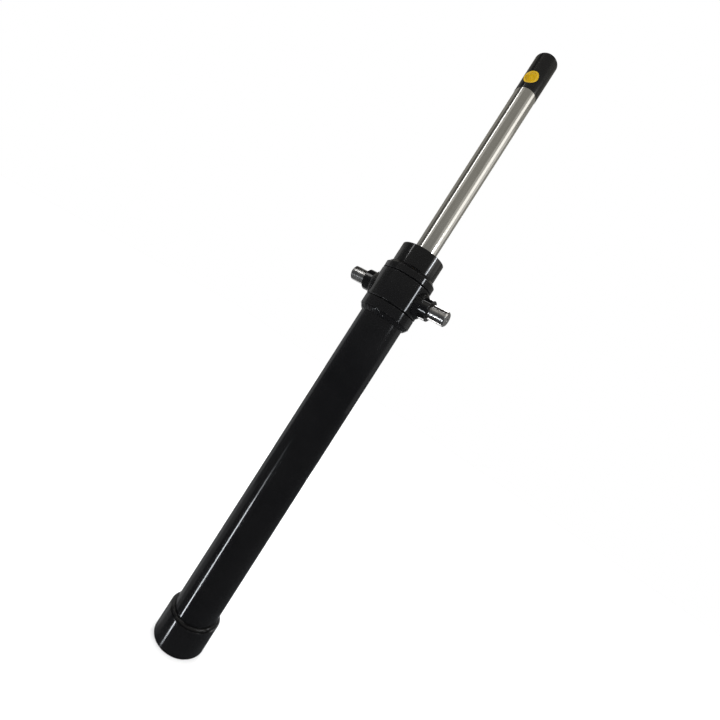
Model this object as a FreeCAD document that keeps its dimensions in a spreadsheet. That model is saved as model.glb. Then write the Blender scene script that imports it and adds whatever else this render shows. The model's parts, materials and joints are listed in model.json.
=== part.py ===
import FreeCAD, Part
import os

import Sketcher
from FreeCAD import Placement, Rotation, Vector

# Telescopic hydraulic cylinder: a fixed barrel with a trunnion collar that turns on it, two hidden
# sleeves and a plunger with an eye. +Z runs along the axis from the base cap to the eye, and the
# origin is the centre of the base cap's lower face. The trunnion pins lie along X, and the eye's
# cross hole along Y.

SIZES = {
    # Barrel
    "base_cap_dia": 148,
    "base_cap_length": 80,
    "base_cap_floor": 45,
    "base_cap_chamfer": 1,
    "base_weld_leg": 7,
    "barrel_dia": 127,
    "barrel_bore": 113,
    "barrel_top": 1175,
    # Oil port in the base cap, a G 3/4 thread drawn at its minor diameter
    "port_height": 24,
    "port_dia": 24.12,
    "port_depth": 22,
    "port_face_dia": 40,
    "port_face_reach": 70,
    "gallery_dia": 14,
    # Barrel head
    "head_dia": 129,
    "head_top": 1239,
    "head_spigot": 33,
    "head_chamfer": 1,
    # Stop rings and trunnion
    "stop_ring_dia": 152,
    "lower_ring_bottom": 1040,
    "ring_edge": 2,
    "collar_dia": 153.5,
    "collar_bottom": 1070,
    "collar_length": 83.5,
    "collar_play": 1,
    "ring_weld_leg": 13,
    "ring_weld_rise": 10.5,
    "top_weld_leg": 9,
    "boss_dia": 60,
    "boss_seat": 70,
    "boss_end": 107.5,
    "boss_chamfer": 1.5,
    "boss_weld_dia": 78,
    "boss_weld_start": 64,
    "boss_weld_shoulder": 72,
    "boss_weld_end": 84,
    "pin_dia": 42,
    "pin_root_dia": 38,
    "pin_root": 66,
    "pin_end": 158,
    "pin_chamfer": 3,
    "centre_drill_dia": 6,
    "centre_drill_mouth": 10,
    "centre_drill_depth": 12,
    # Sleeves
    "stage1_dia": 103,
    "stage1_bore": 91,
    "stage1_seat": 95,
    "stage1_bottom": 46,
    "stage1_top": 1242,
    "stage2_dia": 83,
    "stage2_bore": 72,
    "stage2_seat": 75.6,
    "stage2_bottom": 55.5,
    "stage2_top": 1245,
    # Plunger and eye
    "plunger_dia": 65,
    "plunger_bore": 45,
    "plunger_bottom": 565,
    "plunger_top": 1758,
    "plunger_flange": 8,
    "plunger_flange_dia": 68,
    "plug_spigot": 30,
    "eye_dia": 66.5,
    "eye_top": 1870,
    "eye_round": 6,
    "eye_spigot": 40,
    "eye_height": 1791,
    "eye_hole_dia": 38,
    "bush_bore": 32,
    "bush_length": 36,
    # Transport plug
    "cap_inner": 18.5,
    "cap_outer": 32.5,
    "cap_rim": 3.5,
    "cap_dish": 4,
    "cap_round": 1,
    # Feet, glands and their rings, the same on every stage
    "running_gap": 0.05,
    "metal_gap": 0.3,
    "foot_gap": 0.5,
    "foot_length": 40,
    "foot_ring_length": 28,
    "foot_band_length": 20,
    "foot_band_start": 4,
    "foot_band_depth": 2.5,
    "snap_depth": 1.5,
    "snap_length": 5,
    "snap_rise": 4,
    "rest_ring_start": 4,
    "gland_length": 92,
    "seal_depth": 2.7,
    "wiper_start": 5,
    "wiper_length": 7,
    "rod_seal_start": 20,
    "rod_seal_length": 9,
    "guide_start": 38,
    "guide_length": 20,
    "o_ring_start": 12,
    "o_ring_length": 4,
    "o_ring_depth": 2,
}

TOUCH = 1e-6  # two heights closer than this are the same

document = FreeCAD.newDocument("telescopic_cylinder")
sheet = document.addObject("Spreadsheet::Sheet", "Sizes")


class Size:
    """A length: its expression in the sheet's names, and its value now."""

    def __init__(self, text, value):
        self.text = text
        self.value = value

    def combine(self, other, sign, result):
        text = other.text if isinstance(other, Size) else repr(other)
        return Size(f"({self.text} {sign} {text})", result)

    def __add__(self, other):
        return self.combine(other, "+", self.value + number(other))

    def __sub__(self, other):
        return self.combine(other, "-", self.value - number(other))

    def __mul__(self, other):
        return self.combine(other, "*", self.value * number(other))

    def __truediv__(self, other):
        return self.combine(other, "/", self.value / number(other))


def number(length):
    return length.value if isinstance(length, Size) else length


def fill_sheet():
    """Writes each driving dimension to the sheet, and returns them by name."""
    sizes = {}
    for row, (name, value) in enumerate(SIZES.items(), start=1):
        sheet.set(f"A{row}", name)
        sheet.set(f"B{row}", str(value))
        sheet.setAlias(f"B{row}", name)
        sizes[name] = Size(f"Sizes.{name}", value)
    document.recompute()
    return sizes


size = fill_sheet()
parts = []


def bind(item, name, length):
    """Sets a property from a length, and ties it to the sheet."""
    if isinstance(length, Size):
        item.setExpression(name, length.text)
    else:
        setattr(item, name, length)


def origin_plane(body, role):
    return next(item for item in body.Origin.OriginFeatures if item.Role == role)


def pin_point(sketch, line, across, up):
    """Holds the start of a line at a place measured from the sketch's origin."""
    for name, length, axis in (("DistanceX", across, -2), ("DistanceY", up, -1)):
        if number(length) == 0:
            sketch.addConstraint(Sketcher.Constraint("PointOnObject", line, 1, axis))
            continue
        rule = Sketcher.Constraint(name, -1, 1, line, 1, number(length))
        index = sketch.addConstraint(rule)
        sketch.setExpression(f"Constraints[{index}]", length.text)


def profile_sketch(body, points):
    """A closed outline of (radius, height) corners in the body's XZ plane."""
    sketch = body.newObject("Sketcher::SketchObject", "Profile")
    sketch.AttachmentSupport = [(origin_plane(body, "XZ_Plane"), "")]
    sketch.MapMode = "FlatFace"
    corners = [Vector(number(across), number(up), 0) for across, up in points]
    count = len(corners)
    for index, corner in enumerate(corners):
        sketch.addGeometry(Part.LineSegment(corner, corners[(index + 1) % count]), False)
    for index in range(count):
        following = (index + 1) % count
        sketch.addConstraint(Sketcher.Constraint("Coincident", index, 2, following, 1))
    for index, (across, up) in enumerate(points):
        pin_point(sketch, index, across, up)
    return sketch


def turned(label, points, height=0, turn=None):
    """A body turned about its own Z axis from an outline, then raised and turned into its place."""
    body = document.addObject("PartDesign::Body", label)
    body.Label = label
    sketch = profile_sketch(body, points)
    shape = body.newObject("PartDesign::Revolution", "Turned")
    shape.Profile = sketch
    shape.ReferenceAxis = (sketch, ["V_Axis"])
    shape.Angle = 360
    body.Placement = Placement(Vector(0, 0, number(height)), turn or Rotation())
    if isinstance(height, Size):
        body.setExpression("Placement.Base.z", height.text)
    document.recompute()
    parts.append(body)
    return body


def ring(label, inner, outer, length, height):
    """A plain ring: radii, length, and the height of its lower face."""
    outline = [(inner, 0), (outer, 0), (outer, length), (inner, length)]
    return turned(label, outline, height)


def drill(body, radius, length, start, direction):
    """Takes a round hole out of a body. start is on the hole's axis, in the body's own frame."""
    before = body.Shape.Volume
    hole = body.newObject("PartDesign::SubtractiveCylinder", "Drilled")
    place = Vector(*(number(part) for part in start))
    hole.Placement = Placement(place, Rotation(Vector(0, 0, 1), direction))
    for axis, part in zip("xyz", start):
        if isinstance(part, Size):
            hole.setExpression(f"Placement.Base.{axis}", part.text)
    bind(hole, "Radius", radius)
    bind(hole, "Height", length)
    body.Tip = hole
    document.recompute()
    if body.Shape.Volume >= before:
        raise RuntimeError(f"{body.Label}: a hole takes nothing away")


def make_base_cap():
    """A turned cup with a thick floor. The oil port enters from +Y and turns up into the barrel."""
    outer = size["base_cap_dia"] / 2
    socket = size["barrel_dia"] / 2
    chamfer = size["base_cap_chamfer"]
    length = size["base_cap_length"]
    floor = size["base_cap_floor"]
    outline = [
        (0, 0),
        (outer - chamfer, 0),
        (outer, chamfer),
        (outer, length),
        (socket, length),
        (socket, floor),
        (0, floor),
    ]
    cap = turned("base_cap", outline)
    height = size["port_height"]
    face = size["port_face_reach"]
    along_y = Vector(0, 1, 0)
    mouth = face - size["port_depth"]
    drill(cap, size["port_face_dia"] / 2, outer - face + 1, (0, face, height), along_y)
    drill(cap, size["port_dia"] / 2, size["port_depth"] + 1, (0, mouth, height), along_y)
    drill(cap, size["gallery_dia"] / 2, mouth + 1, (0, 0, height), along_y)
    drill(cap, size["gallery_dia"] / 2, floor - height + 1, (0, 0, height), Vector(0, 0, 1))


def make_barrel():
    """The tube, its two stop rings, and the welds that hold them and the base cap."""
    radius = size["barrel_dia"] / 2
    bottom = size["base_cap_floor"]
    ring("barrel_tube", size["barrel_bore"] / 2, radius, size["barrel_top"] - bottom, bottom)

    leg = size["base_weld_leg"]
    turned("base_weld", [(radius, 0), (radius + leg, 0), (radius, leg)], size["base_cap_length"])

    ring_radius = size["stop_ring_dia"] / 2
    edge = size["ring_edge"]
    low = size["lower_ring_bottom"]
    low_length = size["collar_bottom"] - size["collar_play"] - low
    outline = [
        (radius, 0),
        (ring_radius, 0),
        (ring_radius, low_length - edge),
        (ring_radius - edge, low_length),
        (radius, low_length),
    ]
    turned("lower_stop_ring", outline, low)

    weld_leg = size["ring_weld_leg"]
    outline = [(radius, 0), (radius + size["ring_weld_rise"], weld_leg), (radius, weld_leg)]
    turned("lower_ring_weld", outline, low - weld_leg)

    high = size["collar_bottom"] + size["collar_length"] + size["collar_play"]
    high_length = size["barrel_top"] - high
    outline = [
        (radius, 0),
        (ring_radius - edge, 0),
        (ring_radius, edge),
        (ring_radius, high_length - edge),
        (ring_radius - edge, high_length),
        (radius, high_length),
    ]
    turned("upper_stop_ring", outline, high)

    head_radius = size["head_dia"] / 2
    top_leg = size["top_weld_leg"]
    outline = [(head_radius, 0), (head_radius + top_leg, 0), (head_radius, top_leg)]
    turned("upper_ring_weld", outline, size["barrel_top"])


def gland_bore(rod_radius, length):
    """The grooved inside of a gland, from its top down."""
    bore = rod_radius + size["metal_gap"]
    groove = bore + size["seal_depth"]
    corners = [(bore, length)]
    for name in ("wiper", "rod_seal", "guide"):
        upper = length - size[name + "_start"]
        lower = upper - size[name + "_length"]
        corners += [(bore, upper), (groove, upper), (groove, lower), (bore, lower)]
    return corners


def gland_outside(bore, outer):
    """The lower end and O-ring groove of a gland, from its bore outwards."""
    start = size["o_ring_start"]
    stop = start + size["o_ring_length"]
    floor = outer - size["o_ring_depth"]
    return [(bore, 0), (outer, 0), (outer, start), (floor, start), (floor, stop), (outer, stop)]


def make_gland_rings(name, rod_radius, outer, bottom, length):
    """The O-ring, guide band, rod seal and wiper of one gland."""
    floor = outer - size["o_ring_depth"]
    ring(name + "_o_ring", floor, outer, size["o_ring_length"], bottom + size["o_ring_start"])
    inner = rod_radius + size["running_gap"]
    groove = rod_radius + size["metal_gap"] + size["seal_depth"]
    for piece, key in (("guide_band", "guide"), ("rod_seal", "rod_seal"), ("wiper", "wiper")):
        tall = size[key + "_length"]
        upper = bottom + length - size[key + "_start"]
        ring(f"{name}_{piece}", inner, groove, tall, upper - tall)


def make_head():
    """The barrel head: a spigot in the tube, and a collar above it that guides the first sleeve."""
    rod_radius = size["stage1_dia"] / 2
    spigot_radius = size["barrel_bore"] / 2
    head_radius = size["head_dia"] / 2
    chamfer = size["head_chamfer"]
    spigot = size["head_spigot"]
    bottom = size["barrel_top"] - spigot
    length = size["head_top"] - bottom
    outline = gland_outside(rod_radius + size["metal_gap"], spigot_radius)
    outline += [
        (spigot_radius, spigot),
        (head_radius, spigot),
        (head_radius, length - chamfer),
        (head_radius - chamfer, length),
    ]
    outline += gland_bore(rod_radius, length)
    turned("barrel_head", outline, bottom)
    make_gland_rings("head", rod_radius, spigot_radius, bottom, length)


def make_trunnion():
    """The loose collar, and on each side a boss, its weld and a bare pin."""
    bottom = size["collar_bottom"]
    length = size["collar_length"]
    bore = size["barrel_dia"] / 2 + size["running_gap"]
    outer = size["collar_dia"] / 2
    edge = size["ring_edge"]
    axis_height = length / 2
    outline = [
        (bore, 0),
        (outer - edge, 0),
        (outer, edge),
        (outer, length - edge),
        (outer - edge, length),
        (bore, length),
    ]
    collar = turned("trunnion_collar", outline, bottom)
    boss_radius = size["boss_dia"] / 2
    pin_radius = size["pin_dia"] / 2
    root_radius = size["pin_root_dia"] / 2
    seat = size["boss_seat"]
    root = size["pin_root"]
    boss_end = size["boss_end"]
    for side, direction in (("right", 1), ("left", -1)):
        outward = Vector(direction, 0, 0)
        drill(collar, boss_radius, outer - seat + 1, (seat * direction, 0, axis_height), outward)
        drill(collar, root_radius, seat - root + 1, (root * direction, 0, axis_height), outward)

        turn = Rotation(Vector(0, 0, 1), outward)
        at = bottom + axis_height
        rim = size["boss_chamfer"]
        outline = [
            (root_radius, seat),
            (boss_radius, seat),
            (boss_radius, boss_end - rim),
            (boss_radius - rim, boss_end),
            (root_radius, boss_end),
        ]
        turned("trunnion_boss_" + side, outline, at, turn)

        weld_radius = size["boss_weld_dia"] / 2
        outline = [
            (boss_radius, size["boss_weld_start"]),
            (weld_radius, size["boss_weld_start"]),
            (weld_radius, size["boss_weld_shoulder"]),
            (boss_radius, size["boss_weld_end"]),
        ]
        weld = turned("boss_weld_" + side, outline, at, turn)
        drill(weld, outer, length, (length / -2, 0, 0), Vector(1, 0, 0))

        end = size["pin_end"]
        edge_cut = size["pin_chamfer"]
        drill_radius = size["centre_drill_dia"] / 2
        mouth = size["centre_drill_mouth"] / 2
        depth = size["centre_drill_depth"]
        outline = [
            (0, root),
            (root_radius, root),
            (root_radius, boss_end),
            (pin_radius, boss_end),
            (pin_radius, end - edge_cut),
            (pin_radius - edge_cut, end),
            (mouth, end),
            (drill_radius, end - (mouth - drill_radius)),
            (drill_radius, end - depth),
            (0, end - depth - drill_radius),
        ]
        turned("trunnion_pin_" + side, outline, at, turn)


def make_foot_rings(name, outer_bore, bottom, length, inner):
    """The wide ring at the foot of a stage and the band that runs in the bore around it."""
    outer = outer_bore - size["foot_gap"]
    floor = outer - size["foot_band_depth"]
    start = size["foot_band_start"]
    stop = start + size["foot_band_length"]
    outline = [
        (inner, 0),
        (outer, 0),
        (outer, start),
        (floor, start),
        (floor, stop),
        (outer, stop),
        (outer, length),
        (inner, length),
    ]
    turned(name + "_foot_ring", outline, bottom)
    ring(name + "_foot_band", floor, outer_bore - size["running_gap"], stop - start, bottom + start)


def make_stage(name, outer_bore, rod_radius):
    """One sleeve with its foot, snap rings and gland."""
    radius = size[name + "_dia"] / 2
    bore = size[name + "_bore"] / 2
    seat = size[name + "_seat"] / 2
    bottom = size[name + "_bottom"]
    length = size[name + "_top"] - bottom
    gland = size["gland_length"]
    foot = size["foot_length"]
    snap = size["snap_length"]
    depth = size["snap_depth"]
    rest = size["rest_ring_start"]
    outline = [
        (bore, 0),
        (radius, 0),
        (radius, foot),
        (radius - depth, foot),
        (radius - depth, foot + snap),
        (radius, foot + snap),
        (radius, length),
        (seat, length),
        (seat, length - gland),
        (bore, length - gland),
        (bore, rest + snap),
        (bore + depth, rest + snap),
        (bore + depth, rest),
        (bore, rest),
    ]
    turned(name + "_tube", outline, bottom)
    make_foot_rings(name, outer_bore, bottom, foot, radius)
    ring(name + "_stop_ring", radius - depth, radius + size["snap_rise"], snap, bottom + foot)
    ring(name + "_rest_ring", bore - size["snap_rise"] / 2, bore + depth, snap, bottom + rest)

    gland_bottom = bottom + length - gland
    outline = gland_outside(rod_radius + size["metal_gap"], seat)
    outline += [(seat, gland)]
    outline += gland_bore(rod_radius, gland)
    turned(name + "_gland", outline, gland_bottom)
    make_gland_rings(name, rod_radius, seat, gland_bottom, gland)


def make_plunger():
    """The plunger tube between its foot plug and its eye, and the foot ring that it turns in."""
    radius = size["plunger_dia"] / 2
    bore = size["plunger_bore"] / 2
    bottom = size["plunger_bottom"]
    flange = size["plunger_flange"]
    ring_length = size["foot_ring_length"]
    play = size["metal_gap"]
    depth = size["snap_depth"]
    snap = size["snap_length"]
    groove = ring_length + play * 2
    length = size["plunger_top"] - bottom - flange
    outline = [
        (bore, 0),
        (radius, 0),
        (radius, groove),
        (radius - depth, groove),
        (radius - depth, groove + snap),
        (radius, groove + snap),
        (radius, length),
        (bore, length),
    ]
    turned("plunger_tube", outline, bottom + flange)
    flange_radius = size["plunger_flange_dia"] / 2
    outline = [
        (0, 0),
        (flange_radius, 0),
        (flange_radius, flange),
        (bore, flange),
        (bore, flange + size["plug_spigot"]),
        (0, flange + size["plug_spigot"]),
    ]
    turned("plunger_foot_plug", outline, bottom)
    stop_radius = radius + size["snap_rise"] / 2
    ring("plunger_stop_ring", radius - depth, stop_radius, snap, bottom + flange + groove)
    inner = radius + size["running_gap"]
    outer_bore = size["stage2_bore"] / 2
    make_foot_rings("plunger", outer_bore, bottom + flange + play, ring_length, inner)


def make_eye():
    """The rod's end, with a pressed bush in its cross hole and a plastic plug in one mouth."""
    radius = size["eye_dia"] / 2
    spigot_radius = size["plunger_bore"] / 2
    spigot = size["eye_spigot"]
    top = size["eye_top"] - size["plunger_top"]
    outline = [
        (0, spigot * -1),
        (spigot_radius, spigot * -1),
        (spigot_radius, 0),
        (radius, 0),
        (radius, top),
        (0, top),
    ]
    eye = turned("rod_end_eye", outline, size["plunger_top"])
    blank = eye.Tip
    edges = enumerate(blank.Shape.Edges, start=1)
    rim = next(index for index, edge in edges if abs(edge.BoundBox.ZMin - top.value) < TOUCH)
    rounded = eye.newObject("PartDesign::Fillet", "RoundedRim")
    rounded.Base = (blank, [f"Edge{rim}"])
    bind(rounded, "Radius", size["eye_round"])
    eye.Tip = rounded
    document.recompute()

    plug_side = Vector(0, -1, 0)
    hole_radius = size["eye_hole_dia"] / 2
    height = size["eye_height"]
    reach = radius * 1.1  # the drill starts and ends clear of the eye's round side
    start = (0, reach, height - size["plunger_top"])
    drill(eye, hole_radius, reach * 2, start, plug_side)

    turn = Rotation(Vector(0, 0, 1), plug_side)
    half = size["bush_length"] / 2
    bush_bore = size["bush_bore"] / 2
    outline = [(bush_bore, half * -1), (hole_radius, half * -1), (hole_radius, half), (bush_bore, half)]
    turned("rod_end_bush", outline, height, turn)

    cap_radius = hole_radius - size["running_gap"]
    inner = size["cap_inner"]
    outer = size["cap_outer"]
    dish = outer - size["cap_dish"]
    edge = size["cap_round"]
    lip = cap_radius - size["cap_rim"]
    outline = [
        (0, inner),
        (cap_radius - edge, inner),
        (cap_radius, inner + edge),
        (cap_radius, outer - edge),
        (cap_radius - edge, outer),
        (lip + edge, outer),
        (lip, outer - edge),
        (lip - edge, dish),
        (0, dish),
    ]
    turned("transport_plug", outline, height, turn)


def check_document():
    """Stops at any failed feature, or a sub-part with no valid shape."""
    document.recompute()
    for item in document.Objects:
        if "Invalid" in item.State or "Error" in item.State:
            raise RuntimeError(f"{item.Label} has failed: {item.State}")
    for part in parts:
        if part.Shape.isNull() or not part.Shape.isValid():
            raise RuntimeError(f"{part.Label} has no valid shape")


def write_parts():
    os.makedirs("parts", exist_ok=True)
    for part in parts:
        part.Shape.exportStep(f"parts/{part.Label}.step")


make_base_cap()
make_barrel()
make_head()
make_trunnion()
make_stage("stage1", size["barrel_bore"] / 2, size["stage2_dia"] / 2)
make_stage("stage2", size["stage1_bore"] / 2, size["plunger_dia"] / 2)
make_plunger()
make_eye()
check_document()
write_parts()
print(len(parts), "sub-parts written")
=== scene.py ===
"""Looks for the telescopic hydraulic cylinder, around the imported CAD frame: gloss black paint, hard chrome,
bare turned pins, painted weld beads and a yellow plastic plug.
Metres, +Z along the cylinder from the base cap to the rod eye, +X along the right trunnion pin."""

import cmath
import json
import math

import bpy
import numpy as np
from mathutils import Matrix, Vector


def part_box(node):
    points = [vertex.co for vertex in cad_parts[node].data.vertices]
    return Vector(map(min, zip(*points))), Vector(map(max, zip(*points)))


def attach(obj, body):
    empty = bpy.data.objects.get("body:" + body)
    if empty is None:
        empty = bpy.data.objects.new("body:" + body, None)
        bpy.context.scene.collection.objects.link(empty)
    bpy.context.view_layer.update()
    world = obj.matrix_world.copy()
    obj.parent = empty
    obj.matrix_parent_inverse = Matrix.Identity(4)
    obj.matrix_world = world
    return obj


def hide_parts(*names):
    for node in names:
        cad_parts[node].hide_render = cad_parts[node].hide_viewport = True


MM = 0.001
SEGMENTS = 240  # facets round a turned piece
CUTTER_SEGMENTS = 96  # facets round a cutter
ARC_STEPS = 4  # facets over one rounded corner
ROUND = 0.7 * MM  # usual edge rounding under the paint
FADE = 2.5 * MM  # how far edge wear reaches along a face
ARC_END_WEAR = 0.7  # wear where a rounded edge runs into a face, against 1 on the edge itself
ON_AXIS = 1e-9  # a radius below this is a point on the axis
ON_SURFACE = 0.05 * MM  # a point this near a turned surface lies on it
FACING_ENOUGH = 0.5  # a surface's normal is used where it agrees this well with the flat face
OVERSHOOT = 2 * MM  # how far a cutter stands out of what it cuts

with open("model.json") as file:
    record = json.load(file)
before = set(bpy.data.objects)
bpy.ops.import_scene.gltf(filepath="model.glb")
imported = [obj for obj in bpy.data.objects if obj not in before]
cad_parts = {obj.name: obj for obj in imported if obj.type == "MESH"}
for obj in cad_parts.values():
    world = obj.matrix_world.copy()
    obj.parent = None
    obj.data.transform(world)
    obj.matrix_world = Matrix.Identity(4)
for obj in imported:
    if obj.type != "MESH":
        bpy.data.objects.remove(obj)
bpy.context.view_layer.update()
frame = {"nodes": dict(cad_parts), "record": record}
nodes = frame["nodes"]


# ---------------------------------------------------------------- sizes read from the frame


def radius_of(node):
    """Outer radius of a node turned about Z."""
    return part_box(node)[1].x


def heights(node):
    """Lower and upper end of a node."""
    low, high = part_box(node)
    return low.z, high.z


TUBE = radius_of("barrel_tube")
CAP = radius_of("base_cap")
HEAD = radius_of("barrel_head")
RING = radius_of("lower_stop_ring")
COLLAR = radius_of("trunnion_collar")
EYE = radius_of("rod_end_eye")
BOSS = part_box("trunnion_boss_right")[1].y
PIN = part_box("trunnion_pin_right")[1].y
PIN_ROOT = PIN - 2 * MM
CAP_TOP = heights("base_cap")[1]
COLLAR_LOW, COLLAR_HIGH = heights("trunnion_collar")
PIN_HEIGHT = (COLLAR_LOW + COLLAR_HIGH) / 2
EYE_HEIGHT = sum(heights("rod_end_bush")) / 2
PLUG_LOW, PLUG_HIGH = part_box("transport_plug")
PLUG_SIDE = Vector((*((PLUG_LOW + PLUG_HIGH) / 2).xy, 0)).normalized()


# ---------------------------------------------------------------- mesh building


class Outline:
    """A closed outline of (radius, height, rounding) corners, anticlockwise, so the metal is on its left.
    A place is a complex number, radius + height j. Each place has an edge value, 1 where the paint wears.
    spans join numbered places and carry the surface normal at each end."""

    def __init__(self, corners):
        self.places, self.edges, self.spans = [], [], []
        points = [complex(corner[0], corner[1]) for corner in corners]
        runs = [self.corner(points, index, corners[index][2]) for index in range(len(points))]
        for index, run in enumerate(runs):
            following = runs[(index + 1) % len(runs)]
            for (first, normal_a), (second, normal_b) in zip(run, run[1:]):
                self.spans.append((first, second, normal_a, normal_b))
            self.straight(run[-1][0], following[0][0])

    def add_place(self, place, edge):
        self.places.append(place)
        self.edges.append(edge)
        return len(self.places) - 1

    def corner(self, points, index, rounding):
        """The places of one corner, each with its normal: one place, or an arc of them."""
        here = points[index]
        ahead = points[(index + 1) % len(points)] - here
        back = here - points[index - 1]
        ahead /= abs(ahead)
        back /= abs(back)
        normal = back * -1j
        if rounding == 0:
            return [(self.add_place(here, 0.0), normal)]
        turn = cmath.phase(ahead / back)
        sign = math.copysign(1, turn)
        start = here - back * rounding * math.tan(abs(turn) / 2)
        centre = start - normal * rounding * sign
        run = []
        for step in range(ARC_STEPS + 1):
            spoke = normal * cmath.exp(1j * turn * step / ARC_STEPS)
            edge = 1.0 if 0 < step < ARC_STEPS else ARC_END_WEAR
            run.append((self.add_place(centre + spoke * rounding * sign, edge), spoke))
        return run

    def straight(self, first, second):
        """A straight face, with a place near each end where the wear has faded."""
        start, end = self.places[first], self.places[second]
        length = abs(end - start)
        if length == 0:
            return
        along = (end - start) / length
        normal = along * -1j
        chain = [first]
        if length > 3 * FADE:
            if self.edges[first]:
                chain.append(self.add_place(start + along * FADE, 0.0))
            if self.edges[second]:
                chain.append(self.add_place(end - along * FADE, 0.0))
        chain.append(second)
        self.spans += [(a, b, normal, normal) for a, b in zip(chain, chain[1:])]


def mesh_object(name, vertices, faces, normals=None, edges=None):
    """A mesh piece. normals holds one for each corner of each face, edges the wear of each vertex."""
    mesh = bpy.data.meshes.new(name)
    mesh.from_pydata(vertices, [], faces)
    mesh.shade_smooth()
    if edges is not None:
        mesh.attributes.new("edge", "FLOAT", "POINT").data.foreach_set("value", edges)
    if normals is not None:
        mesh.normals_split_custom_set(normals)
    piece = bpy.data.objects.new(name, mesh)
    bpy.context.scene.collection.objects.link(piece)
    return piece


def turned_data(outline, segments):
    """Vertices, faces, face-corner normals and edge values of an outline turned about Z."""
    spokes = [cmath.exp(2j * math.pi * step / segments) for step in range(segments)]
    vertices, edges, first_of = [], [], []
    for place, edge in zip(outline.places, outline.edges):
        first_of.append(len(vertices))
        ring = spokes if place.real > ON_AXIS else [0j]
        for spoke in ring:
            vertices.append((place.real * spoke.real, place.real * spoke.imag, place.imag))
        edges += [edge] * len(ring)
    faces, normals = [], []
    for first, second, normal_a, normal_b in outline.spans:
        first_on_axis = outline.places[first].real <= ON_AXIS
        second_on_axis = outline.places[second].real <= ON_AXIS
        if first_on_axis and second_on_axis:
            continue
        for step in range(segments):
            following = (step + 1) % segments
            ends = [
                (first_of[first], normal_a, [step] if first_on_axis else [step, following], first_on_axis),
                (first_of[second], normal_b, [step] if second_on_axis else [following, step], second_on_axis),
            ]
            face = []
            for start, normal, steps, on_axis in ends:
                for spoke in steps:
                    face.append(start if on_axis else start + spoke)
                    level = normal.real * spokes[spoke]
                    normals.append((level.real, level.imag, normal.imag))
            faces.append(face)
    return vertices, faces, normals, edges


def turned(name, corners, place=None, segments=SEGMENTS):
    """A piece turned about its own Z axis, then put in place by a matrix."""
    vertices, faces, normals, edges = turned_data(Outline(corners), segments)
    if place is not None:
        turn = place.to_3x3()
        vertices = [place @ Vector(vertex) for vertex in vertices]
        normals = [turn @ Vector(normal) for normal in normals]
    return mesh_object(name, vertices, faces, normals, edges)


def surface_normals(points, facing, outline, place, sign):
    """For each point near a turned surface, its normal there, and how well that agrees with facing.
    facing is the flat face's own normal; sign is -1 for a cutter; points off the surface score -1."""
    inverse = np.array(place.inverted())
    local = points @ inverse[:3, :3].T + inverse[:3, 3]
    radius = np.hypot(local[:, 0], local[:, 1])
    safe = np.maximum(radius, ON_AXIS)
    flat = radius + 1j * local[:, 2]
    best = np.full(len(points), -1.0)
    normals = np.zeros_like(points)
    turn = np.array(place.to_3x3())
    for first, second, normal_a, normal_b in outline.spans:
        start, end = outline.places[first], outline.places[second]
        along = end - start
        share = np.clip(((flat - start) * np.conj(along)).real / abs(along) ** 2, 0, 1)
        distance = np.abs(flat - start - share * along)
        normal = normal_a + (normal_b - normal_a) * share
        across = normal.real / safe
        candidate = np.stack([local[:, 0] * across, local[:, 1] * across, normal.imag], axis=1)
        candidate = candidate @ turn.T * sign
        score = np.where(distance < ON_SURFACE, (candidate * facing).sum(axis=1), -1.0)
        better = score > best
        best[better] = score[better]
        normals[better] = candidate[better]
    return normals, best


def cut(piece, corners, place, cutters):
    """Takes turned cutters out of a turned piece, and gives every face the true surface's normals."""
    surfaces = [(Outline(corners), place, 1)]
    for index, (cutter_corners, cutter_place) in enumerate(cutters):
        tool = turned(f"cutter_{index}", cutter_corners, cutter_place, CUTTER_SEGMENTS)
        modifier = piece.modifiers.new("cut", "BOOLEAN")
        modifier.object = tool
        modifier.solver = "EXACT"
        surfaces.append((Outline(cutter_corners), cutter_place, -1))
    bpy.context.view_layer.update()
    evaluated = piece.evaluated_get(bpy.context.evaluated_depsgraph_get())
    mesh = bpy.data.meshes.new_from_object(evaluated)
    for modifier in list(piece.modifiers):
        bpy.data.objects.remove(modifier.object)
    piece.modifiers.clear()
    piece.data = mesh
    count = len(mesh.loops)
    corner_vertices = np.zeros(count, int)
    mesh.loops.foreach_get("vertex_index", corner_vertices)
    places = np.zeros(len(mesh.vertices) * 3)
    mesh.vertices.foreach_get("co", places)
    points = places.reshape(-1, 3)[corner_vertices]
    sides = [len(face.vertices) for face in mesh.polygons]
    facing = np.repeat([face.normal for face in mesh.polygons], sides, axis=0)
    normals = facing.copy()
    best = np.full(count, FACING_ENOUGH)
    for outline, surface_place, sign in surfaces:
        candidate, score = surface_normals(points, facing, outline, surface_place, sign)
        better = score > best
        normals[better] = candidate[better]
        best[better] = score[better]
    mesh.shade_smooth()
    mesh.normals_split_custom_set(normals.tolist())
    return piece


def show(piece, body, material, replaced):
    """Puts a finished piece on its body in place of its CAD node."""
    piece.data.materials.clear()
    piece.data.materials.append(material)
    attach(piece, body)
    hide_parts(replaced)


# ---------------------------------------------------------------- materials


def add(tree, kind, inputs=None, **settings):
    """A shader node with its settings made and its inputs given values or linked."""
    made = tree.nodes.new(kind)
    for key, value in settings.items():
        setattr(made, key, value)
    for key, value in (inputs or {}).items():
        if isinstance(value, bpy.types.NodeSocket):
            tree.links.new(value, made.inputs[key])
        else:
            made.inputs[key].default_value = value
    return made


def new_material(name, **sockets):
    """A material with a Principled shader; sockets are its uniform values."""
    material = bpy.data.materials.new(name)
    material.use_nodes = True
    shader = material.node_tree.nodes["Principled BSDF"]
    for key, value in sockets.items():
        shader.inputs[key.replace("_", " ")].default_value = value
    return material, material.node_tree, shader


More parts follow.
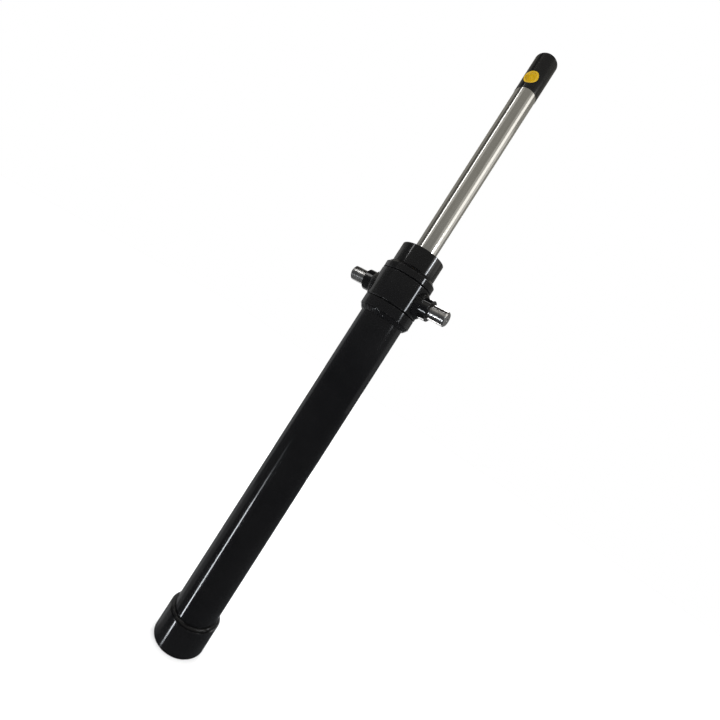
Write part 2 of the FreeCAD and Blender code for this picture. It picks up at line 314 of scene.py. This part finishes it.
def stretched(tree, scale):
    """The piece's own coordinates, scaled by a different amount along each axis."""
    coordinates = add(tree, "ShaderNodeTexCoord").outputs["Object"]
    return add(tree, "ShaderNodeMapping", {"Vector": coordinates, "Scale": scale}).outputs["Vector"]


def noise(tree, scale, detail=2.0, roughness=0.5, vector=None):
    """Noise of about 0 to 1, in the piece's own coordinates unless others are given."""
    if vector is None:
        vector = add(tree, "ShaderNodeTexCoord").outputs["Object"]
    inputs = {"Vector": vector, "Scale": scale, "Detail": detail, "Roughness": roughness}
    return add(tree, "ShaderNodeTexNoise", inputs).outputs["Fac"]


def remap(tree, value, low, high, to_low=0.0, to_high=1.0):
    """The value moved from one range to another, and held inside the new one."""
    inputs = {"Value": value, "From Min": low, "From Max": high, "To Min": to_low, "To Max": to_high}
    return add(tree, "ShaderNodeMapRange", inputs, clamp=True).outputs["Result"]


def calculate(tree, operation, first, second):
    return add(tree, "ShaderNodeMath", {0: first, 1: second}, operation=operation).outputs["Value"]


def product(tree, first, second):
    return calculate(tree, "MULTIPLY", first, second)


def total(tree, first, second):
    return calculate(tree, "ADD", first, second)


def mix_colour(tree, factor, first, second):
    """The first colour where the factor is 0, the second where it is 1."""
    made = add(tree, "ShaderNodeMix", data_type="RGBA")
    for socket, value in zip((made.inputs[0], made.inputs[6], made.inputs[7]), (factor, first, second)):
        if isinstance(value, bpy.types.NodeSocket):
            tree.links.new(value, socket)
        else:
            socket.default_value = value
    return made.outputs[2]


def bump(tree, height, distance, before=None):
    """A normal raised by up to a distance, on top of an earlier bump."""
    inputs = {"Height": height, "Distance": distance, "Strength": 1.0}
    if before is not None:
        inputs["Normal"] = before
    return add(tree, "ShaderNodeBump", inputs).outputs["Normal"]


def edge_wear(tree, scale, low, high):
    """Broken-up wear on rounded edges, from the piece's own edge attribute."""
    edge = add(tree, "ShaderNodeAttribute", attribute_name="edge").outputs["Fac"]
    broken = remap(tree, noise(tree, scale, detail=5.0, roughness=0.65), low, high)
    return product(tree, edge, broken)


def grey(level, warmth=0.0):
    return (level * (1 + warmth), level, level * (1 - warmth), 1.0)


def link_surface(tree, shader, colour, rough, normal):
    """Links the three things that vary over a surface."""
    tree.links.new(colour, shader.inputs["Base Color"])
    tree.links.new(rough, shader.inputs["Roughness"])
    tree.links.new(normal, shader.inputs["Normal"])


def make_paint(name="black_paint", ripple=1.0):
    """Sprayed gloss black: orange peel, faint sags, smudges, dust and rubbed edges."""
    deep = (0.0016, 0.0016, 0.0019, 1)
    smudged = (0.0030, 0.0030, 0.0033, 1)
    sag_depth = 0.18 * MM
    peel_depth = 0.014 * MM
    dust_height = 0.04 * MM
    material, tree, shader = new_material(name, Specular_IOR_Level=0.5, Coat_Weight=0.0)
    smudge = noise(tree, 9.0, detail=4.0, roughness=0.6)
    dust = remap(tree, noise(tree, 900.0, detail=1.0), 0.70, 0.78)
    wear = edge_wear(tree, 260.0, 0.52, 0.70)
    clean = mix_colour(tree, remap(tree, smudge, 0.35, 0.7), deep, smudged)
    dusty = mix_colour(tree, product(tree, dust, 0.35), clean, grey(0.05))
    colour = mix_colour(tree, product(tree, wear, 0.5), dusty, grey(0.06))
    gloss = remap(tree, smudge, 0.3, 0.75, 0.07, 0.15)
    rough = total(tree, gloss, product(tree, total(tree, dust, wear), 0.25))
    sags = bump(tree, noise(tree, 14.0, detail=1.0), sag_depth * ripple)
    peel = bump(tree, noise(tree, 190.0), peel_depth * ripple, sags)
    link_surface(tree, shader, colour, rough, bump(tree, dust, dust_height, peel))
    return material


def make_chrome():
    """Hard chrome ground round and round: faint rings, wider bands, long smears of oil."""
    dull = (0.62, 0.61, 0.585, 1)
    bright = (0.69, 0.68, 0.66, 1)
    band_depth = 0.03 * MM
    ring_depth = 0.012 * MM
    material, tree, shader = new_material("hard_chrome", Metallic=1.0, Anisotropic=0.3)
    rings = noise(tree, 1.0, detail=3.0, roughness=0.6, vector=stretched(tree, (9.0, 9.0, 1100.0)))
    bands = noise(tree, 1.0, vector=stretched(tree, (3.0, 3.0, 45.0)))
    smears = noise(tree, 1.0, detail=4.0, roughness=0.6, vector=stretched(tree, (120.0, 120.0, 7.0)))
    smeared = mix_colour(tree, remap(tree, smears, 0.35, 0.7), dull, bright)
    colour = mix_colour(tree, remap(tree, rings, 0.55, 0.75, 0.0, 0.35), smeared, grey(0.42, 0.02))
    ground = remap(tree, bands, 0.3, 0.7, 0.09, 0.14)
    rough = total(tree, ground, remap(tree, smears, 0.4, 0.75, 0.0, 0.06))
    normal = bump(tree, rings, ring_depth, bump(tree, bands, band_depth))
    link_surface(tree, shader, colour, rough, normal)
    return material


def make_turned_steel(name, scale, level, stain=0.5):
    """Bare turned steel: tool marks round the piece, streaks and small rust-grey stains.
    scale stretches the marks along the piece's axes, level is its brightness."""
    rust = (0.10, 0.085, 0.07, 1)
    stain_height = 0.02 * MM
    mark_depth = 0.03 * MM
    material, tree, shader = new_material(name, Metallic=1.0, Anisotropic=0.4)
    marks = noise(tree, 1.0, detail=3.0, roughness=0.65, vector=stretched(tree, scale))
    spots = remap(tree, noise(tree, 110.0, detail=4.0, roughness=0.7), 0.50, 0.64)
    haze = remap(tree, noise(tree, 45.0, detail=3.0), 0.3, 0.7)
    wear = edge_wear(tree, 400.0, 0.35, 0.6)
    hazy = mix_colour(tree, haze, grey(level * 0.75, 0.01), grey(level * 1.15, 0.01))
    stained = mix_colour(tree, product(tree, spots, stain), hazy, rust)
    colour = mix_colour(tree, product(tree, wear, 0.6), stained, grey(0.75))
    rough = total(tree, remap(tree, marks, 0.3, 0.7, 0.15, 0.26), product(tree, spots, 0.18))
    normal = bump(tree, marks, mark_depth, bump(tree, spots, stain_height))
    link_surface(tree, shader, colour, rough, normal)
    return material


def make_plastic():
    """Moulded yellow plastic: soft sheen, fine mould texture, a little grime in the dish."""
    deep = (0.41, 0.245, 0.0004, 1)
    pale = (0.51, 0.315, 0.0008, 1)
    dirt = (0.22, 0.13, 0.01, 1)
    rubbed = (0.9, 0.7, 0.2, 1)
    grain_depth = 0.02 * MM
    sockets = {"Subsurface_Weight": 0.08, "Subsurface_Scale": 4 * MM, "Specular_IOR_Level": 0.08}
    material, tree, shader = new_material("yellow_plastic", **sockets)
    shader.inputs["Subsurface Radius"].default_value = (1.0, 0.6, 0.1)
    cloud = noise(tree, 70.0, detail=3.0)
    grime = remap(tree, noise(tree, 90.0, detail=4.0, roughness=0.6), 0.55, 0.78)
    wear = edge_wear(tree, 300.0, 0.4, 0.7)
    mottled = mix_colour(tree, remap(tree, cloud, 0.3, 0.7), deep, pale)
    grimy = mix_colour(tree, product(tree, grime, 0.35), mottled, dirt)
    colour = mix_colour(tree, product(tree, wear, 0.3), grimy, rubbed)
    rough = remap(tree, cloud, 0.3, 0.7, 0.36, 0.50)
    link_surface(tree, shader, colour, rough, bump(tree, noise(tree, 1400.0), grain_depth))
    return material


def make_moulded(name, dark, light, rough, metallic=0.0):
    """A plain inner material for seals, bands, snap rings and the bush: mottled colour, fine grain."""
    grain_depth = 0.02 * MM
    material, tree, shader = new_material(name, Metallic=metallic)
    cloud = noise(tree, 90.0, detail=4.0)
    colour = mix_colour(tree, remap(tree, cloud, 0.35, 0.65), dark, light)
    roughness = remap(tree, cloud, 0.3, 0.7, rough - 0.06, rough + 0.08)
    link_surface(tree, shader, colour, roughness, bump(tree, noise(tree, 1200.0), grain_depth))
    return material


ALONG_MARKS, ACROSS_MARKS = 12.0, 900.0  # pattern scale along and across the marks of a lathe tool

paint = make_paint()
weld_paint = make_paint("black_paint_weld", ripple=0.6)
pin_steel = make_turned_steel("machined_steel", (ACROSS_MARKS, ALONG_MARKS, ALONG_MARKS), 0.45)
inner_steel = make_turned_steel("turned_steel", (ALONG_MARKS, ALONG_MARKS, ACROSS_MARKS), 0.38, stain=0.2)
yellow = make_plastic()
bronze_dark, bronze_light = (0.42, 0.27, 0.11, 1), (0.55, 0.37, 0.17, 1)
resin_dark, resin_light = (0.16, 0.09, 0.04, 1), (0.24, 0.15, 0.07, 1)
materials = {
    "black_paint": paint,
    "hard_chrome": make_chrome(),
    "machined_steel": pin_steel,
    "turned_steel": inner_steel,
    "spring_steel": make_moulded("spring_steel", grey(0.05), grey(0.09), 0.4, metallic=1.0),
    "bronze": make_moulded("bronze", bronze_dark, bronze_light, 0.3, metallic=1.0),
    "yellow_plastic": yellow,
    "seal_rubber": make_moulded("seal_rubber", grey(0.012), grey(0.02), 0.5),
    "wear_band": make_moulded("wear_band", resin_dark, resin_light, 0.45),
}
for subpart in frame["record"]["subparts"]:
    cad = nodes[subpart["node"]]
    cad.data.materials.clear()
    cad.data.materials.append(materials[subpart["material_slot"]])


# ---------------------------------------------------------------- turned pieces

RING_CHAMFER = 2 * MM  # chamfers of collar and stop rings
UPRIGHT = Matrix.Identity(4)


def along(direction, height):
    """The place of a piece turned about a level axis at a height."""
    turn = Vector((0, 0, 1)).rotation_difference(direction).to_matrix().to_4x4()
    return Matrix.Translation((0, 0, height)) @ turn


def cylinder(radius, low, high):
    """The outline of a plain cylinder, for a cutter."""
    return [(0, low, 0), (radius, low, 0), (radius, high, 0), (0, high, 0)]


def port_cutters(floor):
    """What is cut out of the cap for the G 3/4 oil port on +Y: spot face, threads, and a gallery that runs
    in level and then up through the floor of the barrel."""
    mount = next(mount for mount in frame["record"]["mounts"] if mount["name"] == "oil_port")
    minor = mount["dims"]["r_mm"] * MM
    half = mount["dims"]["length_mm"] * MM / 2
    depth, height = mount["pos_m"][1:]
    low, high = depth - half, depth + half
    pitch = 25.4 / 14 * MM
    crest, foot = 0.45 * pitch, 0.9 * pitch  # how far below its top a thread is deepest, and ends
    major = minor + 1.1 * MM
    lead = 0.4 * MM  # plain mouth above the first thread
    spot_face = 20 * MM
    gallery = 7 * MM
    overlap = 1 * MM
    mouth_end, outside = high + 5 * MM, high + 9 * MM
    threads = []
    for turn in range(int((high - low) / pitch)):
        top = high - lead - turn * pitch
        threads += [(minor, top, 0), (major, top - crest, 0), (minor, top - foot, 0)]
    mouth = [(major, high, 0), (major, mouth_end, 0), (0, mouth_end, 0)]
    thread_tool = [(0, low, 0), (minor, low, 0), *reversed(threads), *mouth]
    port = along(Vector((0, 1, 0)), height)
    return [
        (cylinder(spot_face, high, outside), port),
        (thread_tool, port),
        (cylinder(gallery, 0, low + overlap), port),
        (cylinder(gallery, height, floor + overlap), UPRIGHT),
    ]


def make_base_cap():
    """The cap, which takes the tube in a socket, with its oil port."""
    chamfer = 1 * MM
    blunt = 0.4 * MM
    floor = heights("barrel_tube")[0]
    corners = [
        (0, 0, 0),
        (CAP - chamfer, 0, blunt),
        (CAP, chamfer, blunt),
        (CAP, CAP_TOP, ROUND),
        (TUBE, CAP_TOP, 0),
        (TUBE, floor, 0),
        (0, floor, 0),
    ]
    piece = cut(turned("base_cap_turned", corners), corners, UPRIGHT, port_cutters(floor))
    show(piece, "barrel", paint, "base_cap")


def make_stop_rings():
    """The two rings that hold the collar: the lower one is square below, where its weld is."""
    low, high = heights("lower_stop_ring")
    corners = [
        (TUBE, low, 0),
        (RING, low, ROUND),
        (RING, high - RING_CHAMFER, ROUND),
        (RING - RING_CHAMFER, high, ROUND),
        (TUBE, high, 0),
    ]
    show(turned("lower_ring_turned", corners), "barrel", paint, "lower_stop_ring")
    low, high = heights("upper_stop_ring")
    corners = [
        (TUBE, low, 0),
        (RING - RING_CHAMFER, low, ROUND),
        (RING, low + RING_CHAMFER, ROUND),
        (RING, high - RING_CHAMFER, ROUND),
        (RING - RING_CHAMFER, high, ROUND),
        (TUBE, high, 0),
    ]
    show(turned("upper_ring_turned", corners), "barrel", paint, "upper_stop_ring")


def make_head():
    """The head with the grooves that its rings sit in."""
    low, high = heights("barrel_head")
    step = heights("upper_stop_ring")[1]
    spigot = radius_of("head_o_ring")
    bore = radius_of("stage1_tube") + 0.3 * MM
    o_low, o_high = heights("head_o_ring")
    o_floor = spigot - 2 * MM
    rim = ROUND * 1.3
    corners = [
        (bore, low, 0),
        (spigot, low, 0),
        (spigot, o_low, 0),
        (o_floor, o_low, 0),
        (o_floor, o_high, 0),
        (spigot, o_high, 0),
        (spigot, step, 0),
        (HEAD, step, 0),
        (HEAD, high, rim),
        (bore, high, ROUND),
    ]
    for name in ("head_wiper", "head_rod_seal", "head_guide_band"):
        ring_low, ring_high = heights(name)
        ring = radius_of(name)
        corners += [(bore, ring_high, 0), (ring, ring_high, 0), (ring, ring_low, 0), (bore, ring_low, 0)]
    show(turned("barrel_head_turned", corners), "barrel", paint, "barrel_head")


def make_collar():
    """The loose trunnion collar, with the seats of its two bosses and pins."""
    bore = TUBE + 0.05 * MM
    corners = [
        (bore, COLLAR_LOW, 0),
        (COLLAR - RING_CHAMFER, COLLAR_LOW, ROUND),
        (COLLAR, COLLAR_LOW + RING_CHAMFER, ROUND),
        (COLLAR, COLLAR_HIGH - RING_CHAMFER, ROUND),
        (COLLAR - RING_CHAMFER, COLLAR_HIGH, ROUND),
        (bore, COLLAR_HIGH, 0),
    ]
    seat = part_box("trunnion_boss_right")[0].x
    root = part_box("trunnion_pin_right")[0].x
    outside = COLLAR + OVERSHOOT
    tool = [(0, root, 0), (PIN_ROOT, root, 0), (PIN_ROOT, seat, 0), (BOSS, seat, 0), (BOSS, outside, 0)]
    tool.append((0, outside, 0))
    cutters = [(tool, along(Vector((side, 0, 0)), PIN_HEIGHT)) for side in (1, -1)]
    piece = cut(turned("trunnion_collar_turned", corners), corners, UPRIGHT, cutters)
    show(piece, "trunnion", paint, "trunnion_collar")


def make_bosses():
    """On each side of the collar, a painted boss and a bare pin with a centre-drilled end."""
    boss_low, boss_high = (corner.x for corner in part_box("trunnion_boss_right"))
    pin_low, pin_high = (corner.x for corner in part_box("trunnion_pin_right"))
    boss_rim = 1.6 * MM
    chamfer = 3 * MM
    chamfer_round = 0.5 * MM
    blunt = 0.2 * MM
    sink, drill = 5 * MM, 3 * MM  # radii of the countersink and of the centre hole
    sink_depth, drill_depth, tip_depth = 2 * MM, 12 * MM, 15 * MM
    boss_corners = [
        (PIN_ROOT, boss_low, 0),
        (BOSS, boss_low, 0),
        (BOSS, boss_high, boss_rim),
        (PIN_ROOT, boss_high, 0),
    ]
    pin_corners = [
        (0, pin_low, 0),
        (PIN_ROOT, pin_low, 0),
        (PIN_ROOT, boss_high, 0),
        (PIN, boss_high, blunt),
        (PIN, pin_high - chamfer, chamfer_round),
        (PIN - chamfer, pin_high, chamfer_round),
        (sink, pin_high, blunt),
        (drill, pin_high - sink_depth, blunt),
        (drill, pin_high - drill_depth, 0),
        (0, pin_high - tip_depth, 0),
    ]
    for name, side in (("right", 1), ("left", -1)):
        place = along(Vector((side, 0, 0)), PIN_HEIGHT)
        boss = turned(f"trunnion_boss_{name}_turned", boss_corners, place)
        show(boss, "trunnion", paint, f"trunnion_boss_{name}")
        pin = turned(f"trunnion_pin_{name}_turned", pin_corners, place)
        show(pin, "trunnion", pin_steel, f"trunnion_pin_{name}")


def make_eye():
    """The rod's painted end, with its spigot in the rod and its cross hole."""
    spigot_low, top = heights("rod_end_eye")
    bottom = heights("plunger_tube")[1]
    spigot = 22.5 * MM
    shoulder = 0.4 * MM
    crown = 6 * MM
    corners = [
        (0, spigot_low, 0),
        (spigot, spigot_low, 0),
        (spigot, bottom, 0),
        (EYE, bottom, shoulder),
        (EYE, top, crown),
        (0, top, 0),
    ]
    hole = cylinder(radius_of("rod_end_bush"), -2 * EYE, 2 * EYE)
    cutters = [(hole, along(PLUG_SIDE, EYE_HEIGHT))]
    piece = cut(turned("rod_end_eye_turned", corners), corners, UPRIGHT, cutters)
    show(piece, "plunger", paint, "rod_end_eye")


def make_plug():
    """The dished plastic plug in one mouth of the cross hole, with a small moulding pip in its middle."""
    inner, outer = -PLUG_HIGH.y, -PLUG_LOW.y
    rim = PLUG_HIGH.x
    lip = rim - 3.5 * MM
    dish = outer - 4 * MM
    dish_slope = 1.5 * MM
    dish_sag = 0.3 * MM
    pip_foot, pip_top, pip_height = 3 * MM, 2.4 * MM, 0.5 * MM
    corners = [
        (0, inner, 0),
        (rim, inner, 1 * MM),
        (rim, outer, 1.2 * MM),
        (lip, outer, 1 * MM),
        (lip - dish_slope, dish, 2 * MM),
        (pip_foot, dish - dish_sag, 0.5 * MM),
        (pip_top, dish + pip_height, 0.4 * MM),
        (0, dish + pip_height, 0),
    ]
    plug = turned("transport_plug_moulded", corners, along(PLUG_SIDE, EYE_HEIGHT))
    show(plug, "plug", yellow, "transport_plug")


# ---------------------------------------------------------------- weld beads


BEAD_STEPS = 12  # facets across a bead
SCALE_STEPS = 10  # facets along one scale
PITCH = 5 * MM
RIPPLE = 0.45 * MM


def wander(angles, rng, size, terms=9, highest=26):
    """A smooth random ripple round a closed path, between about -size and size."""
    ripple = np.zeros_like(angles)
    for cycles in rng.integers(2, highest, terms):
        ripple += np.sin(angles * cycles + rng.uniform(0, 2 * np.pi))
    return ripple * size / math.sqrt(terms)


def make_bead(name, path, length, crown, body, replaced, seed, pitch=PITCH, ripple=RIPPLE):
    """A closed fillet weld. path(angles) gives its root and its two toes, each an array of points; its
    face bulges by crown between the toes and is laid in overlapping scales about one pitch apart."""
    toe_wander, drift_wander, size_wander = 0.05, 0.25, 0.35
    bow_depth = 0.75  # how far a scale's middle runs ahead of its ends, in scales
    sharpness, scale_middle = 0.7, 0.6
    rng = np.random.default_rng(seed)
    scales = round(length / pitch)
    count = scales * SCALE_STEPS
    angles = np.arange(count) * 2 * np.pi / count
    root, toe_a, toe_b = path(angles)
    spread_a = 1 + wander(angles, rng, toe_wander)[:, None]
    spread_b = 1 + wander(angles, rng, toe_wander)[:, None]
    toe_a = root + (toe_a - root) * spread_a
    toe_b = root + (toe_b - root) * spread_b
    outward = (toe_a + toe_b) / 2 - root
    outward /= np.linalg.norm(outward, axis=1)[:, None]
    drift = wander(angles, rng, drift_wander)
    size = 1 + wander(angles, rng, size_wander)
    rows = []
    for step in range(BEAD_STEPS + 1):
        share = step / BEAD_STEPS
        bow = bow_depth * (2 * share - 1) ** 2
        phase = angles / (2 * np.pi) * scales + drift + bow
        scale = np.abs(np.sin(np.pi * phase)) ** sharpness - scale_middle
        swell = math.sin(math.pi * share)
        height = crown * swell + ripple * size * scale * swell**0.5
        rows.append(toe_a + (toe_b - toe_a) * share + outward * height[:, None])
    rows.append(root)
    vertices = np.concatenate(rows)
    faces = []
    for row in range(len(rows)):
        here, above = row * count, (row + 1) % len(rows) * count
        for step in range(count):
            turn = (step + 1) % count
            faces.append((here + step, here + turn, above + turn, above + step))
    piece = mesh_object(name, vertices.tolist(), faces)
    facing = np.cross(vertices[1] - vertices[0], vertices[count] - vertices[0])
    if np.dot(facing, outward[0]) < 0:
        piece.data.flip_normals()
    show(piece, body, weld_paint, replaced)


def ring_path(root_radius, root_height, toe_radius, toe_height):
    """A fillet round the axis: one toe out along a level face, the other up or down an upright wall."""

    def path(angles):
        spokes = np.stack([np.cos(angles), np.sin(angles), np.zeros_like(angles)], axis=1)
        up = np.array([0.0, 0.0, 1.0])
        root = spokes * root_radius + up * root_height
        toe_level = spokes * toe_radius + up * root_height
        toe_upright = spokes * root_radius + up * toe_height
        return root, toe_level, toe_upright

    return path


def boss_path(side):
    """A fillet where a boss meets the round collar: it climbs and falls with the collar's surface."""
    toe_end, toe_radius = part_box("boss_weld_right")[1].xy

    def at(radius, angles, reach=None):
        across = np.cos(angles) * radius
        reach = np.sqrt(COLLAR**2 - across**2) if reach is None else np.full_like(angles, reach)
        return np.stack([reach * side, across * side, PIN_HEIGHT + np.sin(angles) * radius], axis=1)

    def path(angles):
        return at(BOSS, angles), at(toe_radius, angles), at(BOSS, angles, toe_end)

    return path


def make_beads():
    """The five painted weld beads. The one below the lower ring is coarser than the others."""
    base_crown, crown = 1.2 * MM, 0.8 * MM
    ring_length = 2 * math.pi * RING
    low, high = heights("base_weld")
    base = ring_path(TUBE, low, radius_of("base_weld"), high)
    make_bead("base_weld_bead", base, 2 * math.pi * CAP, base_crown, "barrel", "base_weld", seed=1)
    low, high = heights("lower_ring_weld")
    lower = ring_path(TUBE, high, radius_of("lower_ring_weld"), low)
    make_bead("lower_ring_bead", lower, ring_length, crown, "barrel", "lower_ring_weld", seed=2,
              pitch=1.8 * PITCH, ripple=2 * RIPPLE)
    low, high = heights("upper_ring_weld")
    upper = ring_path(HEAD, low, radius_of("upper_ring_weld"), high)
    make_bead("upper_ring_bead", upper, ring_length, crown, "barrel", "upper_ring_weld", seed=3)
    for name, side, seed in (("right", 1, 4), ("left", -1, 5)):
        bead, weld = f"boss_weld_{name}_bead", f"boss_weld_{name}"
        make_bead(bead, boss_path(side), 2 * math.pi * BOSS, crown, "trunnion", weld, seed)


make_base_cap()
make_stop_rings()
make_head()
make_collar()
make_bosses()
make_eye()
make_plug()
make_beads()


# ---------------------------------------------------------------- stage, light and camera

CAMERA_AZIMUTH = math.radians(25.9)  # from -Y towards +X
CAMERA_DISTANCE = 1.120
CAMERA_HEIGHT = 0.9045
CAMERA_ASIDE = 0.0085  # the axis stands a little left of the middle of the picture
CAMERA_LEAN = math.radians(32.6)  # the cylinder leans this far to the right of upright
CAMERA_LENS = 20.36  # millimetres, on a sensor 36 mm wide
LAMP_DISTANCE = 2.0
LAMP_WATTS = 4.0  # power of a square metre of lamp at a radiance of one
WHITE = (1, 1, 1)
COOL = (0.90, 0.95, 1.0)
WARM = (1.0, 0.985, 0.95)

# Soft boxes that stand upright round the cylinder, facing it. Azimuths are in degrees to the right of the
# camera, low and high are the heights of a lamp's ends, and tilt in degrees leans its top to the right.
LAMPS = (
    # name, azimuth, low, high, width, radiance, tilt, tint
    ("left_low", -50, -1.6, -0.38, 0.14, 13.0, 11, COOL),
    ("left_low_middle", -51, -1.6, -0.15, 0.14, 4.5, 11, COOL),
    ("left_low_end", -52, -1.6, 0.1, 0.14, 0.8, 11, COOL),
    ("left_head", -66, 1.77, 1.835, 0.12, 8.0, 4, WHITE),
    ("left_high", -66, 1.835, 3.3, 0.22, 3.0, 4, WHITE),
    ("left_top", -66, 3.7, 5.2, 0.22, 3.0, 0, WHITE),
    ("left_high_glow", -50, 1.9, 3.3, 0.75, 0.20, 0, WARM),
    ("left_rear_low", -100, -1.6, -0.3, 1.1, 0.10, 0, WHITE),
    ("left_rear", -128, -1.6, 1.8, 1.0, 0.20, 0, WHITE),
    ("right_lowest", 63, 1.22, 1.36, 0.15, 1.6, 0, COOL),
    ("right_low", 60.5, 1.36, 1.72, 0.15, 14.0, -6, COOL),
    ("right_high", 64, 1.72, 1.95, 0.15, 24.0, 0, COOL),
    ("right_panel", 66.5, 1.72, 3.33, 0.97, 0.97, 0, WARM),
    ("right_top", 66.5, 3.7, 5.2, 0.97, 0.97, 0, WARM),
    ("right_shoulder", 95, 1.72, 3.0, 1.0, 0.36, 0, WARM),
    ("right_glow", 42, 1.9, 3.3, 0.75, 0.20, 0, WARM),
    ("right_rear", 116, 0.5, 1.5, 1.2, 0.10, 0, WHITE),
    ("rear_panel", 180, -1.6, 4.8, 1.1, 0.5, 0, WHITE),
    ("rear_strip", 179, -1.6, 4.8, 0.16, 7.0, 0, WHITE),
    ("rear_left", -163, -1.6, 4.8, 0.14, 1.0, 0, WHITE),
    ("rear_right", 164, -1.6, 4.8, 0.14, 1.0, 0, WHITE),
)


def toward(azimuth):
    """A level unit direction from the axis; azimuth in degrees to the right of the camera."""
    angle = CAMERA_AZIMUTH + math.radians(azimuth)
    return Vector((math.sin(angle), -math.cos(angle), 0))


def make_camera():
    """The camera stands level with the middle of the cylinder and rolls, so the cylinder leans."""
    data = bpy.data.cameras.new("camera")
    data.lens = CAMERA_LENS
    data.sensor_width = 36
    data.clip_start = 0.01
    camera = bpy.data.objects.new("camera", data)
    bpy.context.scene.collection.objects.link(camera)
    back = toward(0)
    across = toward(90)
    upright = Vector((0, 0, 1))
    right = across * math.cos(CAMERA_LEAN) + upright * math.sin(CAMERA_LEAN)
    up = upright * math.cos(CAMERA_LEAN) - across * math.sin(CAMERA_LEAN)
    turn = Matrix((right, up, back)).transposed().to_4x4()
    spot = back * CAMERA_DISTANCE + across * CAMERA_ASIDE + upright * CAMERA_HEIGHT
    camera.matrix_world = Matrix.Translation(spot) @ turn
    bpy.context.scene.camera = camera


def strip_lamp(name, azimuth, low, high, width, radiance, tilt, tint):
    """One row of LAMPS. The camera doesn't see it."""
    data = bpy.data.lights.new(name, "AREA")
    data.shape = "RECTANGLE"
    data.size = width
    data.size_y = high - low
    data.energy = radiance * width * (high - low) * LAMP_WATTS
    data.color = tint
    lamp = bpy.data.objects.new(name, data)
    bpy.context.scene.collection.objects.link(lamp)
    level = toward(azimuth)
    spot = level * LAMP_DISTANCE + Vector((0, 0, (low + high) / 2))
    turn = (-level).to_track_quat("-Z", "Y").to_matrix().to_4x4()
    lamp.matrix_world = Matrix.Translation(spot) @ turn @ Matrix.Rotation(math.radians(tilt), 4, "Z")
    lamp.visible_camera = False


def vector_math(tree, operation, *values):
    return add(tree, "ShaderNodeVectorMath", dict(enumerate(values)), operation=operation).outputs


def switch(tree, factor, off, on):
    """The number off where the factor is 0, on where it is 1."""
    return add(tree, "ShaderNodeMix", {0: factor, 2: off, 3: on}, data_type="FLOAT").outputs[0]


def make_world():
    """White to the eye, soft light for the floor, and in the reflections a dim room: cool below, warmer and
    lighter above, with a dark flag on the left and a dark ceiling."""
    floor_level, wall_level = 0.095, 0.275
    flag_azimuth, flag_depth = -86, 0.7
    ceiling_level = 0.2
    cool, warm = (0.93, 0.96, 1.0, 1), (1.0, 0.97, 0.87, 1)
    soft_light, backdrop = 0.9, 1.0
    world = bpy.data.worlds.new("studio")
    world.use_nodes = True
    tree = world.node_tree
    tree.nodes.clear()
    rays = add(tree, "ShaderNodeLightPath").outputs
    mirrored = rays["Is Glossy Ray"]
    direction = add(tree, "ShaderNodeTexCoord").outputs["Generated"]
    rise = add(tree, "ShaderNodeSeparateXYZ", {"Vector": direction}).outputs["Z"]
    level = vector_math(tree, "MULTIPLY", direction, (1, 1, 0))["Vector"]
    heading = vector_math(tree, "NORMALIZE", level)["Vector"]
    aim = vector_math(tree, "DOT_PRODUCT", heading, toward(flag_azimuth))["Value"]
    flag = product(tree, remap(tree, aim, 0.955, 0.985), remap(tree, rise, 0.15, 0.35, 0.0, flag_depth))
    wall = remap(tree, rise, -0.05, 0.38, floor_level, wall_level)
    lit = product(tree, wall, calculate(tree, "SUBTRACT", 1.0, flag))
    room = product(tree, lit, remap(tree, rise, 0.67, 0.8, 1.0, ceiling_level))
    hue = mix_colour(tree, remap(tree, rise, 0.0, 0.4), cool, warm)
    unseen = switch(tree, mirrored, soft_light, room)
    strength = switch(tree, rays["Is Camera Ray"], unseen, backdrop)
    tint = mix_colour(tree, mirrored, (1, 1, 1, 1), hue)
    background = add(tree, "ShaderNodeBackground", {"Color": tint, "Strength": strength})
    add(tree, "ShaderNodeOutputWorld", {"Surface": background.outputs["Background"]})
    bpy.context.scene.world = world


def make_floor():
    """A plain pale floor, which the object doesn't mirror."""
    material, tree, shader = new_material("studio_floor", Roughness=0.9, Specular_IOR_Level=0.1)
    colour = mix_colour(tree, noise(tree, 3.0), grey(0.90), grey(0.93))
    tree.links.new(colour, shader.inputs["Base Color"])
    side = 12.0
    corners = [(-side, -side, 0), (side, -side, 0), (side, side, 0), (-side, side, 0)]
    floor = mesh_object("studio_floor", corners, [(0, 1, 2, 3)])
    floor.data.materials.append(material)
    floor.visible_glossy = False
    floor.visible_shadow = False


def make_lights():
    """A wide, soft light from above that leaves no reflection, and the lamps."""
    data = bpy.data.lights.new("overhead", "SUN")
    data.energy = 1.6
    data.angle = math.radians(60)
    overhead = bpy.data.objects.new("overhead", data)
    bpy.context.scene.collection.objects.link(overhead)
    overhead.visible_glossy = False
    for row in LAMPS:
        strip_lamp(*row)


make_camera()
make_world()
make_floor()
make_lights()
bpy.context.scene.view_settings.view_transform = "Standard"
